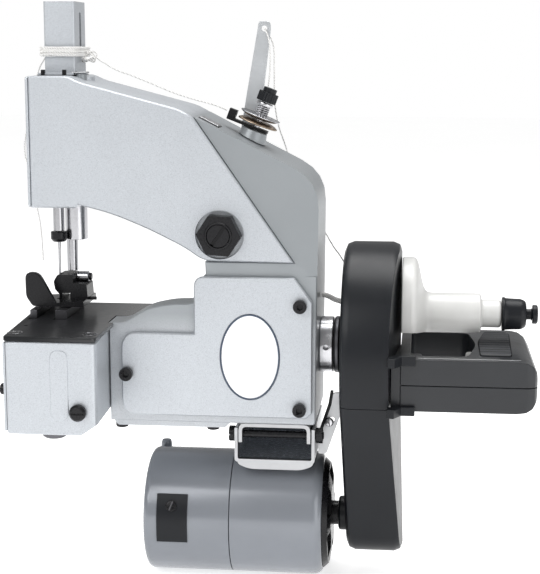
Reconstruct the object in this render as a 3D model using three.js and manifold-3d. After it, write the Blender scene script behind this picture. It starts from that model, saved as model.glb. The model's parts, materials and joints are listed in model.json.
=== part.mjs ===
// Portable bag closer: a hand-held chain-stitch sewing head with its motor, belt drive and handle.
// Units are millimetres. +X runs from the needle end to the handle, +Y away from the front cover
// and +Z up along the needle. Each mesh is one separate piece of the machine.

import * as THREE from 'three';
import { mergeVertices } from 'three/addons/utils/BufferGeometryUtils.js';
import Module from 'manifold-3d';

const wasm = await Module();
wasm.setup();

// ---------------------------------------------------------------- driving dimensions

const GAP = 0.3; // clearance between pieces that touch
const AXIS_Y = 34; // plane of the needle, the main shaft and the motor

const NEEDLE_X = -124;
const PRESSER = { x: -118.2, y: 42 };
const BUSHING_X = -115.5;
const PLATE_TOP = 149.8;
const PLATE_THICK = 2.6;

const ARM = { left: -129.8, top: 287, bottom: 214.4, front: -3, back: 64 };
const BODY = { left: -87.5, right: 29.3, bottom: 93.3, front: 0, back: 64 };
const WALL = 5;

const SEAM_TOP = [-38.8, 265.3]; // upper end of the joint line between arm and body
const SEAM_FOOT = [16.8, 185.5]; // its lower end, on the arm's underside

const PIVOT = { x: -24, z: 200.6 }; // needle lever's pivot
const YOKE_PIN = { x: -116, z: 246.6, radius: 2 }; // pin on the lever that moves the needle bar
const SHAFT_Z = 133;
const MOTOR = { z: 31.5, radius: 36, left: -70.2 };

const COVER = { left: 43.5, right: 76, radius: 60, footRadius: 21, split: 108.5, wall: 2.4 };
const HANDLE = { left: 76.3, right: 150.5, front: -18, back: 70, bottom: 107.4, top: 136.2 };
const SPOOL_Z = 152.8;

// ---------------------------------------------------------------- solids

function signedVolume(points, triangles) {
  let sum = 0;
  const a = new THREE.Vector3();
  const b = new THREE.Vector3();
  const c = new THREE.Vector3();
  for (let i = 0; i < triangles.length; i += 3) {
    a.fromArray(points, triangles[i] * 3);
    b.fromArray(points, triangles[i + 1] * 3);
    c.fromArray(points, triangles[i + 2] * 3);
    sum += a.dot(b.cross(c));
  }
  return sum / 6;
}

// A closed three.js geometry as a solid with its faces pointing out.
function solid(geometry) {
  const bare = geometry.clone();
  bare.deleteAttribute('normal');
  bare.deleteAttribute('uv');
  const merged = mergeVertices(bare, 1e-4);
  const points = merged.attributes.position.array;
  const index = merged.index.array;
  const kept = [];
  for (let i = 0; i < index.length; i += 3) {
    const [a, b, c] = [index[i], index[i + 1], index[i + 2]];
    if (a !== b && b !== c && c !== a) {
      kept.push(a, b, c);
    }
  }
  if (signedVolume(points, kept) < 0) {
    kept.reverse();
  }
  const mesh = { numProp: 3, vertProperties: new Float32Array(points), triVerts: new Uint32Array(kept) };
  return new wasm.Manifold(new wasm.Mesh(mesh));
}

const AXES = {
  xy: new THREE.Matrix4(),
  xz: new THREE.Matrix4().makeBasis(
    new THREE.Vector3(1, 0, 0), new THREE.Vector3(0, 0, 1), new THREE.Vector3(0, -1, 0),
  ),
  yz: new THREE.Matrix4().makeBasis(
    new THREE.Vector3(0, 1, 0), new THREE.Vector3(0, 0, 1), new THREE.Vector3(1, 0, 0),
  ),
};

// Extrudes a flat shape drawn in one plane between two distances along the third axis.
function prism(plane, shape, from, to, { bevel = 0, steps = 1, curve = 4 } = {}) {
  const depth = to - from - 2 * bevel;
  const geometry = new THREE.ExtrudeGeometry(shape, {
    depth,
    curveSegments: curve,
    bevelEnabled: bevel > 0,
    bevelThickness: bevel,
    bevelSize: bevel,
    bevelOffset: -bevel,
    bevelSegments: steps,
  });
  geometry.translate(0, 0, bevel);
  if (plane === 'xz') {
    geometry.translate(0, 0, -to);
  } else {
    geometry.translate(0, 0, from);
  }
  geometry.applyMatrix4(AXES[plane]);
  return solid(geometry);
}

// A closed outline from corners [u, v, radius], with a curve at every corner that has a radius.
function outline(corners) {
  const shape = new THREE.Shape();
  const count = corners.length;
  corners.forEach(([u, v, radius = 0], i) => {
    const corner = new THREE.Vector2(u, v);
    const before = new THREE.Vector2(...corners[(i + count - 1) % count]).sub(corner);
    const after = new THREE.Vector2(...corners[(i + 1) % count]).sub(corner);
    const reach = Math.min(radius, before.length() * 0.48, after.length() * 0.48);
    const start = before.setLength(reach).add(corner);
    const end = after.setLength(reach).add(corner);
    if (i === 0) {
      shape.moveTo(start.x, start.y);
    } else {
      shape.lineTo(start.x, start.y);
    }
    if (radius > 0) {
      shape.quadraticCurveTo(u, v, end.x, end.y);
    }
  });
  shape.closePath();
  return shape;
}

function block(x0, x1, y0, y1, z0, z1) {
  const geometry = new THREE.BoxGeometry(x1 - x0, y1 - y0, z1 - z0);
  geometry.translate((x0 + x1) / 2, (y0 + y1) / 2, (z0 + z1) / 2);
  return solid(geometry);
}

// A solid of revolution. The profile is [radius, distance] along the axis, starting and ending on it.
function turned(axis, profile, centre, segments = 28) {
  const points = profile.map(([radius, along]) => new THREE.Vector2(radius, along));
  const geometry = new THREE.LatheGeometry(points, segments);
  if (axis === 'x') {
    geometry.rotateZ(-Math.PI / 2);
  }
  if (axis === 'z') {
    geometry.rotateX(Math.PI / 2);
  }
  geometry.translate(...centre);
  return solid(geometry);
}

function rod(axis, radius, from, to, centre, segments = 28) {
  return turned(axis, [[0, from], [radius, from], [radius, to], [0, to]], centre, segments);
}

// A round tube along hand-placed points.
function tube(points, radius, steps, sides = 6) {
  const corners = points.map((p) => new THREE.Vector3(...p));
  const path = new THREE.CatmullRomCurve3(corners, false, 'centripetal');
  const section = new THREE.Shape();
  for (let i = 0; i < sides; i += 1) {
    const angle = (i / sides) * Math.PI * 2;
    const corner = [radius * Math.cos(angle), radius * Math.sin(angle)];
    if (i === 0) {
      section.moveTo(...corner);
    } else {
      section.lineTo(...corner);
    }
  }
  section.closePath();
  return solid(new THREE.ExtrudeGeometry(section, { steps, extrudePath: path, bevelEnabled: false }));
}

function join(first, ...others) {
  return others.reduce((sum, piece) => sum.add(piece), first);
}

function cut(first, ...others) {
  return others.reduce((rest, piece) => rest.subtract(piece), first);
}

// ---------------------------------------------------------------- materials and placing

const FINISHES = {
  silver_paint: [0xcfd1d5, 0.5, 0.35],
  smooth_paint: [0xa3a8ab, 0.5, 0.3],
  motor_paint: [0x818285, 0.25, 0.3],
  steel: [0xc8cacc, 0.25, 1.0],
  dark_steel: [0x4a4c50, 0.45, 0.9],
  black_oxide: [0x1e2024, 0.45, 0.6],
  black_plastic: [0x32343a, 0.3, 0.0],
  black_rubber: [0x2a2b2d, 0.8, 0.0],
  grey_rubber: [0x77797c, 0.85, 0.0],
  white_plastic: [0xe1e1de, 0.4, 0.0],
  brass: [0xb07a55, 0.3, 1.0],
  bracket_steel: [0xb9babc, 0.4, 0.8],
  thread: [0xeceae6, 0.9, 0.0],
};

const machine = new THREE.Group();

function place(name, finish, piece) {
  const { vertProperties, triVerts } = piece.getMesh();
  const geometry = new THREE.BufferGeometry();
  geometry.setAttribute('position', new THREE.BufferAttribute(vertProperties, 3));
  geometry.setIndex(new THREE.BufferAttribute(triVerts, 1));
  geometry.computeVertexNormals();
  const [color, roughness, metalness] = FINISHES[finish];
  const mesh = new THREE.Mesh(geometry, new THREE.MeshStandardMaterial({ color, roughness, metalness }));
  mesh.name = name;
  machine.add(mesh);
}

// ---------------------------------------------------------------- arm and body castings

// Underside of the arm from the throat to the head, seen from the front.
const THROAT_CURVE = [
  [-33.2, 186, 5],
  [-43, 193, 6],
  [-63.9, 203.4, 10],
  [-84.5, 211.6, 9],
  [-103.4, 216.3],
];

// Space for the short end of the needle lever, across the joint between the two castings.
function leverRoom() {
  return block(-27, 16, 22, 46, 170, 214);
}

function armCasting() {
  const side = outline([
    [ARM.left, ARM.bottom],
    [ARM.left, ARM.top],
    [-108, ARM.top, 3],
    [-101.5, 283.8, 4],
    [-46, 269.3, 6],
    SEAM_TOP,
    SEAM_FOOT,
    ...THROAT_CURVE,
    [-104.8, ARM.bottom],
  ]);
  const inside = outline([
    [ARM.left - 1, ARM.bottom + WALL],
    [ARM.left - 1, ARM.top - WALL],
    [-108, ARM.top - WALL],
    [-46, 264],
    [-38, 259],
    [8, 192.5],
    [8, 180],
    [-27, 180],
    [-38, 196],
    [-64, 208.4],
    [-85, 217],
    [-100, 220],
  ]);
  const bossProfile = [[0, -6], [5, -6], [5, 5], [0, 5]];
  return cut(
    join(
      prism('xz', side, ARM.front, ARM.back, { bevel: 0.8, steps: 1 }),
      turned('z', bossProfile, [-105.8, AXIS_Y, 281]),
    ),
    prism('xz', inside, ARM.front + 6, ARM.back - WALL),
    rod('y', 13.6, ARM.front - 1, ARM.front + 3, [PIVOT.x, 0, PIVOT.z], 36),
    leverRoom(),
    rod('y', 6.6, ARM.front - 1, ARM.back + 1, [PIVOT.x, 0, PIVOT.z]),
    rod('z', 3.6, ARM.bottom - 5, ARM.bottom + 9, [NEEDLE_X, AXIS_Y, 0], 20),
    rod('z', 6.95, ARM.bottom - 5, ARM.bottom + 9, [BUSHING_X, PRESSER.y, 0]),
    rod('z', 3.6, ARM.top - WALL - 1, ARM.top + 1, [PRESSER.x, PRESSER.y, 0], 20),
  );
}

function bodyCasting() {
  const [seamTopX, seamTopZ] = SEAM_TOP;
  const [seamFootX, seamFootZ] = SEAM_FOOT;
  const side = outline([
    [BODY.left, BODY.bottom],
    [BODY.right, BODY.bottom, 2],
    [BODY.right + 0.9, 230, 16],
    [seamTopX + 0.3, seamTopZ],
    [seamFootX + 0.3, seamFootZ - GAP],
    [-32.6, seamFootZ - GAP],
    [-31.8, 166, 7],
    [-40, 161.2, 6],
    [-52, 161, 5],
    [-66, 158, 5],
    [-79, 149.8, 3],
    [BODY.left, 149.6],
  ]);
  const pocket = outline([
    [-76, 101.5],
    [23.5, 101.5],
    [23.5, 161],
    [14.5, 173.5],
    [-34.5, 173.5],
    [-34.5, 141],
    [-76, 141],
  ]);
  const facet = new THREE.Shape();
  facet.moveTo(0, -1);
  facet.lineTo(50, -1);
  facet.lineTo(50, 10);
  facet.lineTo(0, 0);
  facet.closePath();
  const wedge = new THREE.ExtrudeGeometry(facet, { depth: 150, bevelEnabled: false });
  wedge.translate(0, 0, -140);
  wedge.applyMatrix4(new THREE.Matrix4().makeBasis(
    new THREE.Vector3(0.821, 0, 0.571), new THREE.Vector3(0, 1, 0), new THREE.Vector3(-0.571, 0, 0.821),
  ));
  wedge.translate(seamTopX + 0.4, BODY.front, seamTopZ);
  const above = block(-60, 60, -20, 40, 177.6, 300);
  const flange = outline([
    [BODY.left + 1, BODY.bottom + 1], [BODY.left + 4, 90.3, 1], [-22, 90.3, 1], [-18, BODY.bottom + 1],
  ]);
  return cut(
    join(
      prism('xz', side, BODY.front, BODY.back, { bevel: 0.6, steps: 1 }),
      prism('xz', flange, BODY.front + 1, BODY.back - 4),
    ),
    prism('xz', pocket, BODY.front - 1, BODY.back - WALL),
    leverRoom(),
    block(-92, -33.3, 19.7, 70, PLATE_TOP + 0.1, 200),
    block(-92, -69.7, 19.7, 70, PLATE_TOP - PLATE_THICK - GAP, 200),
    solid(wedge).intersect(above),
    rod('x', 6.4, BODY.right - WALL - 2, BODY.right + 2, [0, AXIS_Y, SHAFT_Z]),
    rod('x', 8, BODY.left - 2, -74, [0, AXIS_Y, 120], 24),
  );
}

function coverOutline() {
  return outline([
    [-80, 97.8, 9],
    [24.5, 97.8],
    [27.6, 101],
    [27.6, 163.8],
    [17.6, 177.3],
    [-38.6, 177.3, 6],
    [-38.6, 144.8],
    [-80, 144.8, 9],
  ]);
}

const COVER_SCREWS = {
  cover_screw_left: [-77, 121.6],
  cover_screw_upper: [20.9, 161.8],
  cover_screw_lower: [20.7, 103.2],
};

function frontCover() {
  const holes = Object.values(COVER_SCREWS).map(([x, z]) => rod('y', 2.3, -5, 1, [x, 0, z], 16));
  const badgeSeat = new THREE.Shape();
  badgeSeat.absellipse(-7.2, 132.4, 17, 24.6, 0, Math.PI * 2, false, 0);
  return cut(
    prism('xz', coverOutline(), -4, -GAP, { bevel: 0.7, steps: 1 }),
    prism('xz', badgeSeat, -5, -3.6, { curve: 24 }),
    ...holes,
  );
}

// A socket-head cap screw along Y with its head outside and its shank in the hole.
function capScrew([x, z]) {
  const head = rod('y', 3.8, -8, -4 - GAP, [x, 0, z], 24);
  const shank = rod('y', 2, -5, -0.4, [x, 0, z], 16);
  const socket = rod('y', 1.8, -9, -6, [x, 0, z], 6);
  return cut(join(head, shank), socket);
}

// ---------------------------------------------------------------- needle end

const BOX = { left: -134.8, right: -84.8, front: -45, bottom: 95.8, back: 64 };

function looperBox() {
  const top = PLATE_TOP - PLATE_THICK - GAP;
  const plan = outline([
    [BOX.left, BOX.front, 2.5],
    [BOX.right, BOX.front, 5],
    [BODY.left - GAP - 0.2, 0],
    [BODY.left - GAP - 0.2, BOX.back],
    [BOX.left - 2.5, BOX.back],
  ]);
  const inner = outline([
    [BOX.left - 6, BOX.front + 4],
    [BOX.right - 4, BOX.front + 4, 2],
    [BODY.left - 4, 4],
    [BODY.left - 4, BOX.back - 4],
    [BOX.left - 6, BOX.back - 4],
  ]);
  const chamfer = outline([
    [-94.4, BOX.bottom - 0.1], [-80, BOX.bottom + 9.6], [-80, BOX.bottom - 5], [-94.4, BOX.bottom - 5],
  ]);
  const badge = outline([
    [-110, 104.3, 4.8], [-100.4, 104.3, 4.8], [-100.4, 142.6, 4.8], [-110, 142.6, 4.8],
  ]);
  return cut(
    join(
      prism('xy', plan, BOX.bottom, top, { bevel: 0.8, steps: 1 }),
      prism('xz', badge, BOX.front - 0.5, -43),
    ),
    prism('xy', inner, BOX.bottom + 4, top + 2),
    prism('xz', chamfer, BOX.front - 1, 70),
    rod('y', 2.3, BOX.front - 1, -40, [-95, 0, 109], 16),
    rod('z', 5.5, BOX.bottom - 1, BOX.bottom + 5, [-113.2, -26, 0], 24),
    rod('x', 8, -93, -84, [0, AXIS_Y, 120], 24),
    block(-140, -129, BOX.front + 8, BOX.back - 8, BOX.bottom + 8, top - 8),
  );
}

// A slotted round-head screw along Y in front of the looper box.
function looperBoxScrew() {
  const profile = [[0, -49], [3.4, -49], [4.6, -47.6], [4.6, BOX.front - GAP], [0, BOX.front - GAP]];
  const head = turned('y', profile, [-95, 0, 109]);
  const shank = rod('y', 2, -46, -42, [-95, 0, 109], 16);
  const slot = block(-101, -89, -50, -48, 108.5, 109.5);
  return cut(join(head, shank), slot);
}

function looperBoxPlug() {
  const profile = [
    [0, BOX.bottom - 6], [5.2, BOX.bottom - 6], [6.7, BOX.bottom - 5], [7.2, BOX.bottom - 3.6],
    [7.2, BOX.bottom - GAP], [5.2, BOX.bottom - GAP], [5.2, BOX.bottom + 3], [0, BOX.bottom + 3],
  ];
  return turned('z', profile, [-113.2, -26, 0], 24);
}

function looperEndPlate() {
  const plan = outline([[-135.1, -43], [-137.6, 62], [-139, 62], [-136.5, -43]]);
  return prism('xy', plan, 97, 146, { bevel: 0.3 });
}

function needlePlate() {
  const plan = outline([
    [-135.6, -45, 2],
    [-85, -45, 4],
    [-85, -0.6],
    [-88, -0.6],
    [-88, 20],
    [-70, 20],
    [-70, 62],
    [-139.2, 62],
    [-139.2, 20],
  ]);
  const rails = [[-136.1, -131], [-121.4, -113.4]];
  const slots = rails.map(([x0, x1]) => block(x0, x1, 4, 56, 140, 160));
  const screws = [[-131.8, -34], [-90.4, -34]];
  const seats = screws.map(([x, y]) => turned(
    'z', [[0, -1], [2.1, -1], [3.9, 2.7], [3.9, 4], [0, 4]], [x, y, PLATE_TOP - PLATE_THICK], 24,
  ));
  return cut(
    prism('xy', plan, PLATE_TOP - PLATE_THICK, PLATE_TOP, { bevel: 0.3, steps: 1 }),
    ...slots,
    ...seats,
    rod('z', 1.6, 140, 160, [NEEDLE_X, AXIS_Y, 0], 16),
    rod('z', 1.2, 140, 160, [-131.5, -14, 0], 12),
  );
}

function feedDog() {
  const base = block(-135.2, -114.2, 12, 50, 140.5, 144.5);
  const left = block(-135.5, -131.6, 9, 50, 143, 154.3);
  const right = block(-120.8, -114, 9, 50, 143, 154.3);
  const window = rod('z', 3.6, 139, 146, [NEEDLE_X, AXIS_Y, 0], 24);
  return cut(join(base, left, right), window);
}

function looper() {
  const shaft = rod('x', 5, -112, -78, [0, AXIS_Y, 120], 24);
  const arm = block(-119, -112, 30, 38, 116, 138);
  const hook = block(-123, -112, 32.4, 35.6, 134.6, 138);
  return join(shaft, arm, hook);
}

function presserBushing() {
  const outer = rod('z', 6.6, 191.5, ARM.bottom + 8.5, [BUSHING_X, PRESSER.y, 0]);
  return cut(outer, rod('z', 3.5, 180, 240, [PRESSER.x, PRESSER.y, 0], 20));
}

// Bar with the yoke at its middle: the lever's pin slides along the slot as it lifts the bar.
function needleBar() {
  const hub = rod('z', 5.2, 239, 252.6, [NEEDLE_X, AXIS_Y, 0], 20);
  const yoke = block(-127.6, -101.6, 24, 31.5, 239, 252.6);
  const slot = block(-125.2, -104, 23, 28.5, YOKE_PIN.z - 3.1, YOKE_PIN.z + 2.4);
  return cut(join(rod('z', 3.2, 197, 264, [NEEDLE_X, AXIS_Y, 0], 20), hub, yoke), slot);
}

function needleClamp() {
  const profile = [[0, 190.8], [3.6, 190.8], [4.8, 192.4], [4.8, 196.7], [0, 196.7]];
  const collar = turned('z', profile, [NEEDLE_X, AXIS_Y, 0], 24);
  return cut(collar, rod('z', 1.2, 180, 200, [NEEDLE_X, AXIS_Y, 0], 12));
}

function needle() {
  const profile = [[0, 158], [0.9, 163], [0.9, 196], [0, 196]];
  return turned('z', profile, [NEEDLE_X, AXIS_Y, 0], 12);
}

function presserBar() {
  return rod('z', 3.25, 172.6, 304, [PRESSER.x, PRESSER.y, 0], 20);
}

// Foot with its toe plate, upright block, front finger guard and the tail behind it.
function presserFoot() {
  const base = outline([[-134, 154.8], [-106.5, 154.8], [-106.5, 158], [-134, 156.4]]);
  const upright = outline([
    [-124, 154.8], [-106.5, 154.8], [-107.4, 166.2, 1], [-115.2, 166.6], [-116, 171.6], [-124.6, 171.6, 1],
    [-127, 167.6, 1], [-126.2, 163], [-123.6, 160],
  ]);
  const guard = outline([
    [-140.4, 160.4, 2],
    [-140.6, 174.6, 5],
    [-132.6, 174.6, 4],
    [-123, 157, 2],
    [-121, 154.8],
    [-136.6, 154.8, 1.5],
  ]);
  const window = outline([[-121.9, 160.8], [-117.2, 160.8], [-117.2, 156.4], [-121.9, 157.2]]);
  return cut(
    join(
      prism('xz', base, 18, 50),
      prism('xz', upright, 30, 46),
      prism('xz', guard, 18, 21.5, { bevel: 0.5, steps: 1 }),
      rod('x', 1, -107, -102.4, [0, AXIS_Y, 157.4], 12),
    ),
    prism('xz', window, 10, 60),
    rod('z', 2.2, 150, 180, [NEEDLE_X, AXIS_Y, 0], 16),
    rod('x', 3.4, -113.4, -100, [0, AXIS_Y, 169.4], 16),
  );
}

function needleGuard() {
  const plan = outline([[-126.7, 21, 2], [-108.7, 21, 2], [-108.7, 47, 2], [-126.7, 47, 2]]);
  const hollow = outline([[-125.3, 22.4, 1], [-110.1, 22.4, 1], [-110.1, 45.6, 1], [-125.3, 45.6, 1]]);
  const slot = outline([[31.8, 301.7, 2], [36.2, 301.7, 2], [36.2, 322.4, 2], [31.8, 322.4, 2]]);
  const foot = block(-129.2, -108.7, 16, 50, ARM.top + GAP, ARM.top + 1.4);
  return cut(
    join(prism('xy', plan, ARM.top + GAP, 328), foot),
    prism('xy', hollow, ARM.top - 1, 326.5),
    prism('yz', slot, -112, -105),
  );
}

function armEndPlate() {
  const shape = outline([
    [ARM.front + 0.5, 214.6, 2], [63, 214.6, 2], [63, 286.6, 2], [ARM.front + 0.5, 286.6, 2],
  ]);
  return prism('yz', shape, ARM.left - 1.9, ARM.left - GAP, { bevel: 0.3, steps: 1 });
}

// ---------------------------------------------------------------- needle lever and its drive

function pivotNut() {
  const hexagon = new THREE.Shape();
  for (let i = 0; i < 6; i += 1) {
    const angle = (i / 6) * Math.PI * 2 - 0.06;
    const corner = [PIVOT.x + 12.5 * Math.cos(angle), PIVOT.z + 12.5 * Math.sin(angle)];
    if (i === 0) {
      hexagon.moveTo(...corner);
    } else {
      hexagon.lineTo(...corner);
    }
  }
  hexagon.closePath();
  const ringProfile = [[0, -9.4], [7.4, -9.4], [7.8, -8.9], [7.8, -8], [0, -8]];
  const ring = turned('y', ringProfile, [PIVOT.x, 0, PIVOT.z]);
  const bore = rod('y', 6.6, -10, 1, [PIVOT.x, 0, PIVOT.z]);
  return cut(join(prism('xz', hexagon, -8.6, -GAP), ring), bore);
}

function pivotShaft() {
  const shaft = rod('y', 6.2, -9, 60, [PIVOT.x, 0, PIVOT.z]);
  const slot = block(-0.9, 0.9, -10, -7.4, -7, 7).rotate([0, 35, 0]).translate([PIVOT.x, 0, PIVOT.z]);
  return cut(shaft, slot);
}

// The lever steps to the front of the needle bar, where its pin runs in the bar's yoke.
function needleLever() {
  const shape = outline([
    [-120.6, 242.2, 3], [-120.6, 251.2, 3], [-64, 234, 10], [-32, 212, 6], [-16, 210, 6], [10, 202, 3],
    [10, 195, 3], [-20, 190, 5], [-34, 194, 5], [-64, 224, 10],
  ]);
  const [stepLeft, stepRight] = [-92.6, -84];
  const slice = (y0, y1, x0, x1) => (
    prism('xz', shape, y0, y1).intersect(block(x0, x1, y0 - 1, y1 + 1, 180, 260))
  );
  return cut(
    join(
      slice(30, 38, stepLeft, 20),
      slice(18.5, 38, stepLeft, stepRight),
      slice(18.5, 23.7, -130, stepRight),
      rod('y', YOKE_PIN.radius, 20, 28.2, [YOKE_PIN.x, 0, YOKE_PIN.z], 16),
    ),
    rod('y', 6.6, 20, 50, [PIVOT.x, 0, PIVOT.z]),
    rod('y', 2.6, 20, 50, [5, 0, 198.5], 16),
  );
}

// Rod from the lever's short end down to the open strap round the crank.
function connectingRod() {
  const web = outline([[2.4, 151.5], [7.6, 151.5], [7.6, 187], [2.4, 187]]);
  const strap = rod('x', 20, 2.4, 7.6, [0, AXIS_Y, SHAFT_Z], 32);
  const opening = rod('x', 17, 1, 9, [0, AXIS_Y, SHAFT_Z], 32);
  const forkFoot = block(2.4, 7.6, 26.4, 41.6, 184, 189);
  const cheeks = [[26.4, 29.6], [38.4, 41.6]].map(([y0, y1]) => block(1, 9, y0, y1, 186, 203));
  const pin = rod('y', 2.2, 27, 41, [5, 0, 198.5], 16);
  return join(prism('xz', web, 31, 37), cut(strap, opening), forkFoot, ...cheeks, pin);
}

function mainShaft() {
  const shaft = rod('x', 6, -40, 60, [0, AXIS_Y, SHAFT_Z], 32);
  const crank = rod('x', 7, -0.5, 10.5, [0, AXIS_Y, SHAFT_Z + 2.6], 32);
  const collar = turned(
    'x',
    [[0, 29.7], [15.8, 29.7], [16.2, 30.2], [16.2, 36.9], [15.8, 37.4], [0, 37.4]],
    [0, AXIS_Y, SHAFT_Z],
    40,
  );
  const setScrewHole = rod('y', 1.6, -20, -12, [33.6, AXIS_Y, SHAFT_Z + 1.2], 16);
  return cut(join(shaft, crank, collar), setScrewHole);
}

function drivePulley() {
  const rim = turned('x', [
    [0, 53], [47, 53], [48, 54], [45, 56.5], [45, 62.5], [48, 65], [47, 66], [0, 66],
  ], [0, AXIS_Y, SHAFT_Z], 40);
  const hub = turned('x', [
    [0, 37.7], [15.4, 37.7], [16.4, 38.7], [16.4, 40.6], [12, 41], [12, 54], [0, 54],
  ], [0, AXIS_Y, SHAFT_Z], 32);
  return cut(join(rim, hub), rod('x', 6.3, 30, 80, [0, AXIS_Y, SHAFT_Z], 32));
}

// ---------------------------------------------------------------- thread tension

const TENSION_TILT = 21;
const TENSION_FOOT = [-12, AXIS_Y, 247];

// Places a piece built upright on the tension axis, which leans to the right.
function onTensionAxis(piece) {
  return piece.rotate([0, TENSION_TILT, 0]).translate(TENSION_FOOT);
}

function tensionBoss() {
  const cone = turned('z', [[0, -9], [10.4, -9], [9.4, 0], [7.2, 10], [0, 10]], [0, 0, 0]);
  const bore = rod('z', 2.3, -20, 20, [0, 0, 0], 16);
  const slope = outline([
    [-46, 269.6], [-39, 265.7], [BODY.right + 1.2, 230.4], [30, 200], [-60, 200],
  ]);
  return onTensionAxis(cut(cone, bore)).subtract(prism('xz', slope, 0, 70));
}

function tensionPost() {
  const post = rod('z', 2, 0.6, 34, [0, 0, 0], 16);
  const washer = rod('z', 4.4, 24.6, 26.4, [0, 0, 0], 24);
  const slope = outline([[-60, 269], [-39, 265.7], [BODY.right + 1.2, 230.4], [30, 200], [-60, 200]]);
  return onTensionAxis(join(post, washer)).subtract(prism('xz', slope, 0, 70));
}

function threadGuidePlate() {
  const shape = outline([[-17.4, -3.4, 1], [7.4, -3.4, 2], [7.4, 3.4, 2], [-17.4, 3.4, 1]]);
  const plate = prism('xy', shape, 10.3, 11.8);
  const eye = cut(block(-17.6, -13, -2.6, 2.6, 10.3, 16.6), rod('x', 1.3, -20, 0, [0, 0, 14.2], 12));
  const bore = rod('z', 2.3, 5, 20, [0, 0, 0], 16);
  return onTensionAxis(cut(join(plate, eye), bore));
}

function tensionDisc(height, sign) {
  const rim = [[2.3, 0], [8, 0], [11.7, -1.1], [11.7, -0.2], [8.2, 0.9], [2.3, 0.9], [2.3, 0]];
  const profile = rim.map(([r, h]) => [r, height + sign * h]);
  return onTensionAxis(turned('z', profile, [0, 0, 0], 32));
}

function tensionSpring() {
  const coil = [];
  for (let turn = 0; turn < 3; turn += 1) {
    const h = 18.9 + turn * 1.8;
    coil.push([3.2, h], [3.9, h + 0.45], [3.2, h + 0.9], [2.9, h + 1.35]);
  }
  const profile = [[2.3, 18.9], ...coil, [2.9, 24.3], [2.3, 24.3], [2.3, 18.9]];
  return onTensionAxis(turned('z', profile, [0, 0, 0], 14));
}

function tensionKnob() {
  const grip = new THREE.Shape();
  const teeth = 20;
  for (let i = 0; i < teeth * 2; i += 1) {
    const angle = (i / (teeth * 2)) * Math.PI * 2;
    const radius = i % 2 === 0 ? 5.7 : 5.2;
    const corner = [radius * Math.cos(angle), radius * Math.sin(angle)];
    if (i === 0) {
      grip.moveTo(...corner);
    } else {
      grip.lineTo(...corner);
    }
  }
  grip.closePath();
  const body = prism('xy', grip, 27, 32.4);
  const cap = rod('z', 3.9, 32, 35, [0, 0, 0], 24);
  return onTensionAxis(cut(join(body, cap), rod('z', 2.3, 20, 34.5, [0, 0, 0], 16)));
}

function threadArm() {
  const strip = outline([
    [-19.2, 251.6, 1], [-9, 246.4, 1], [-1.1, 312.8, 3.5], [-1.4, 317.2, 3], [-8, 317.6, 3],
    [-8.6, 313.4, 3.5],
  ]);
  return cut(
    prism('xz', strip, 48, 49.6),
    rod('y', 1.7, 40, 60, [-4.8, 0, 313.2], 16),
    prism('xz', outline([
      [-46, 269.6], [-39, 265.8], [BODY.right + 1.2, 230.5], [30, 200], [-60, 200],
    ]), 0, 70),
  );
}

// ---------------------------------------------------------------- belt drive and covers

// Outline round the two pulleys, in the YZ plane, at a distance from the outer one.
function teardrop(inset) {
  const top = COVER.radius - inset;
  const foot = COVER.footRadius - inset;
  const lean = Math.asin((top - foot) / (SHAFT_Z - MOTOR.z));
  const shape = new THREE.Shape();
  shape.absarc(AXIS_Y, SHAFT_Z, top, -lean, Math.PI + lean, false);
  shape.absarc(AXIS_Y, MOTOR.z, foot, Math.PI + lean, Math.PI * 2 - lean, false);
  shape.closePath();
  return shape;
}

// The space to the right of a face that slopes back on both sides of a ridge over the axis.
function rightOfRidge(ridge) {
  const shape = outline([
    [ridge, AXIS_Y], [ridge - 7, AXIS_Y - 70], [ridge + 30, AXIS_Y - 70],
    [ridge + 30, AXIS_Y + 70], [ridge - 7, AXIS_Y + 70],
  ]);
  return prism('xy', shape, -20, 230);
}

function beltCover(low, high) {
  const { left, right, wall } = COVER;
  const outside = prism('yz', teardrop(0), left, right, { bevel: 5, steps: 2, curve: 16 });
  const inside = prism('yz', teardrop(wall), left + wall, right - wall, {
    bevel: 4, steps: 1, curve: 16,
  });
  const shell = cut(
    outside,
    rightOfRidge(right),
    cut(inside, rightOfRidge(right - wall)),
    rod('x', 18, 40, 50, [0, AXIS_Y, SHAFT_Z], 32),
    rod('x', 14, 40, 50, [0, AXIS_Y, MOTOR.z], 32),
  );
  return shell.intersect(block(30, 90, -60, 120, low, high));
}

// The lower cover leans away from the motor, more and more towards its foot.
function lowerBeltCover() {
  return beltCover(0, COVER.split - GAP / 2).warp((point) => {
    point[0] += 0.03 * (COVER.split - point[2]);
  });
}

function driveBelt() {
  const big = 45.4;
  const small = 11.2;
  const lean = Math.asin((big - small) / (SHAFT_Z - MOTOR.z));
  const loop = (extra) => {
    const shape = new THREE.Shape();
    shape.absarc(AXIS_Y, SHAFT_Z, big + extra, -lean, Math.PI + lean, false);
    shape.absarc(AXIS_Y, MOTOR.z, small + extra, Math.PI + lean, Math.PI * 2 - lean, false);
    shape.closePath();
    return shape;
  };
  return cut(
    prism('yz', loop(2.2), 57.2, 61.8, { curve: 14 }),
    prism('yz', loop(0), 56, 63, { curve: 14 }),
  );
}

// ---------------------------------------------------------------- handle

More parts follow.
